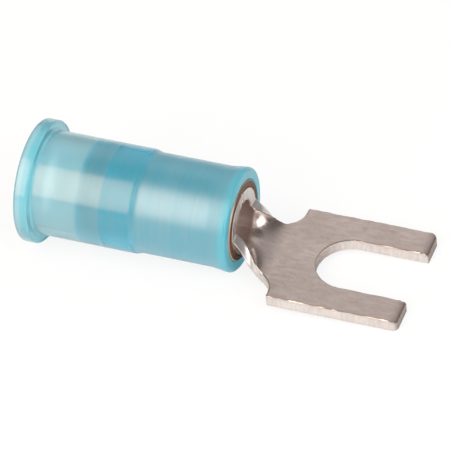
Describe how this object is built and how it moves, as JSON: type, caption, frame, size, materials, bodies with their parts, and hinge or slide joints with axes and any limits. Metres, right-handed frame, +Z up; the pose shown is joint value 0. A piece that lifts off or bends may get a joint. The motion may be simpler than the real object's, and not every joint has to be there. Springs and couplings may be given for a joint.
{
  "type": "fork terminal",
  "caption": "Insulated fork terminal: a slotted metal fork with a rolled crimp barrel in a flanged translucent nylon sleeve, for joining a wire to a screw or stud.",
  "frame": {"origin": "middle of the tongue's shoulder line, on the tongue's underside", "axes": "+X along the tines to their tips, parallel to the barrel's axis; +Z up from the tongue towards the barrel's axis and its seam; +Y across the tongue"},
  "size_m": [0.0243, 0.008, 0.0077],
  "materials": {
    "tinned_copper": "tin plated, satin rolled faces and bright sheared edges",
    "sleeve_copper": "thin drawn tube, lightly tinned, with fine rings",
    "blue_nylon": "translucent moulded nylon, glossy"
  },
  "bodies": {
    "root": {"fork_and_barrel": "tinned_copper", "grip_sleeve": "sleeve_copper", "nylon_insulator": "blue_nylon"}
  },
  "joints": []
}
